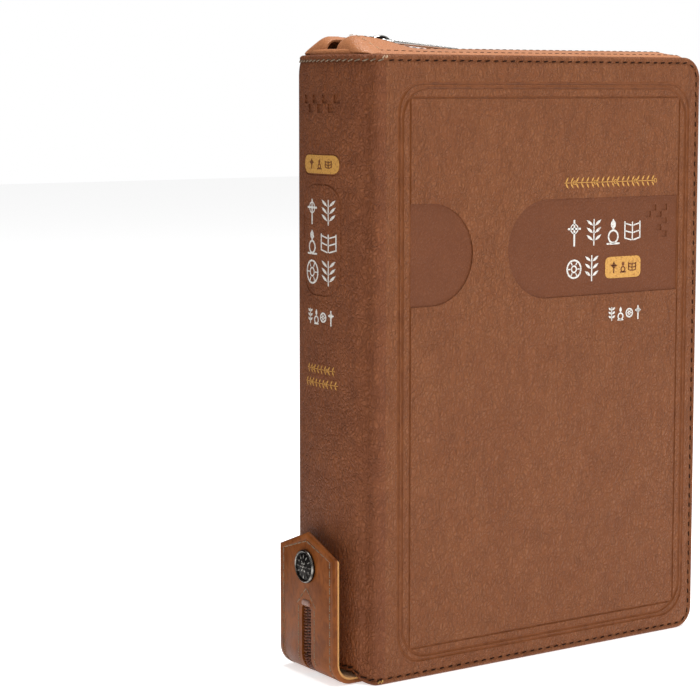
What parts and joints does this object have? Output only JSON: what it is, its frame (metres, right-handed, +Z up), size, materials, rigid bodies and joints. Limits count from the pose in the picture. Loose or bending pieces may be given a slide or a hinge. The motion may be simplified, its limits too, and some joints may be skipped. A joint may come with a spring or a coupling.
{
  "type": "bible",
  "caption": "Zip-around leather Bible standing on its tail: padded grained covers, gusset with coil zip and slider, rounded spine, snap tab over the tail, loose leaves.",
  "frame": {"origin": "under the middle of the whole book, on the plane its tail edges stand on", "axes": "+Z up the spine from tail to head; +X from the spine to the fore-edge; the front cover faces -Y"},
  "size_m": [0.1802, 0.054, 0.2471],
  "materials": {
    "grained_leather": "pebble-grain leather with a satin finish",
    "spine_leather": "pebble-grain leather, stretched over the spine",
    "gusset_leather": "thin split leather, fine creases",
    "tab_leather": "smooth thicker leather, burnished edges",
    "tab_lining": "raw tan leather",
    "pages": "thin page edges cut in one block",
    "endpaper": "heavier matte paper",
    "board": "grey board",
    "cover_lining": "smooth lining leather",
    "spine_liner": "open-weave binding cloth",
    "band_cloth": "woven silk band",
    "ribbon_red": "satin ribbon",
    "ribbon_gold": "satin ribbon",
    "zip_tape": "woven herringbone tape",
    "zip_coil": "wound coil, slightly glossy",
    "tab_stop": "folded tape end",
    "dark_nickel": "antiqued nickel, worn bright on the high spots",
    "bright_nickel": "polished nickel plate"
  },
  "bodies": {
    "book_block": {"text_block": "pages", "spine_leather": "spine_leather", "spine_board": "board", "spine_liner": "spine_liner", "head_band": "band_cloth", "tail_band": "band_cloth", "ribbon_front": "ribbon_red", "ribbon_back": "ribbon_gold", "snap_stud": "bright_nickel", "head_fold_front": "gusset_leather", "head_fold_back": "gusset_leather", "spine_head_roll": "gusset_leather", "head_chain_end": "zip_coil", "tail_strap": "tab_leather", "tail_strap_lining": "tab_lining", "tail_chain": "zip_coil"},
    "front_cover": {"front_leather": "grained_leather", "front_board": "board", "front_lining": "cover_lining", "front_gusset_head": "gusset_leather", "front_gusset_fore": "gusset_leather", "front_gusset_tail": "gusset_leather", "front_tape": "zip_tape", "front_coil": "zip_coil"},
    "back_cover": {"back_leather": "grained_leather", "back_board": "board", "back_lining": "cover_lining", "back_gusset_head": "gusset_leather", "back_gusset_fore": "gusset_leather", "back_gusset_tail": "gusset_leather", "back_tape": "zip_tape", "back_coil": "zip_coil"},
    "front_endpaper": {"front_endpaper": "endpaper"},
    "front_leaves": {"front_leaves": "pages"},
    "back_endpaper": {"back_endpaper": "endpaper"},
    "back_leaves": {"back_leaves": "pages"},
    "zip_slider": {"slider_body": "dark_nickel", "slider_bridge": "dark_nickel"},
    "zip_pull": {"pull_link": "bright_nickel", "pull_bar": "bright_nickel"},
    "snap_tab": {"tab_leather": "tab_leather", "tab_lining": "tab_lining", "tab_chain": "zip_coil", "tab_stop": "tab_stop", "snap_cap": "dark_nickel", "snap_socket": "bright_nickel"}
  },
  "joints": [
    {"name": "front_cover_hinge", "type": "hinge", "parent": "book_block", "child": "front_cover", "pos_m": [-0.07508, -0.027, 0.12], "axis": [0, 0, -1], "range_deg": [0, 170]},
    {"name": "back_cover_hinge", "type": "hinge", "parent": "book_block", "child": "back_cover", "pos_m": [-0.07508, 0.027, 0.12], "axis": [0, 0, 1], "range_deg": [0, 170]},
    {"name": "front_endpaper_hinge", "type": "hinge", "parent": "book_block", "child": "front_endpaper", "pos_m": [-0.07321, -0.0222, 0.12], "axis": [0, 0, -1], "range_deg": [0, 86]},
    {"name": "front_leaves_hinge", "type": "hinge", "parent": "book_block", "child": "front_leaves", "pos_m": [-0.07321, -0.0216, 0.12], "axis": [0, 0, -1], "range_deg": [0, 52]},
    {"name": "back_endpaper_hinge", "type": "hinge", "parent": "book_block", "child": "back_endpaper", "pos_m": [-0.07321, 0.0222, 0.12], "axis": [0, 0, 1], "range_deg": [0, 86]},
    {"name": "back_leaves_hinge", "type": "hinge", "parent": "book_block", "child": "back_leaves", "pos_m": [-0.07321, 0.0216, 0.12], "axis": [0, 0, 1], "range_deg": [0, 52]},
    {"name": "zip_travel", "type": "slide", "parent": "back_cover", "child": "zip_slider", "axis": [1, 0, 0], "range_m": [0, 0.126]},
    {"name": "zip_pull_pivot", "type": "hinge", "parent": "zip_slider", "child": "zip_pull", "pos_m": [-0.05357, 0, 0.2456], "axis": [0, -1, 0], "range_deg": [0, 165]},
    {"name": "snap_tab_hinge", "type": "hinge", "parent": "book_block", "child": "snap_tab", "pos_m": [-0.08797, 0, 0.0087], "axis": [0, -1, 0], "range_deg": [0, 95]}
  ],
  "couplings": [
    {"joint": "front_endpaper_hinge", "follows": "front_cover_hinge", "ratio": 0.5},
    {"joint": "front_leaves_hinge", "follows": "front_cover_hinge", "ratio": 0.3},
    {"joint": "back_endpaper_hinge", "follows": "back_cover_hinge", "ratio": 0.5},
    {"joint": "back_leaves_hinge", "follows": "back_cover_hinge", "ratio": 0.3}
  ]
}
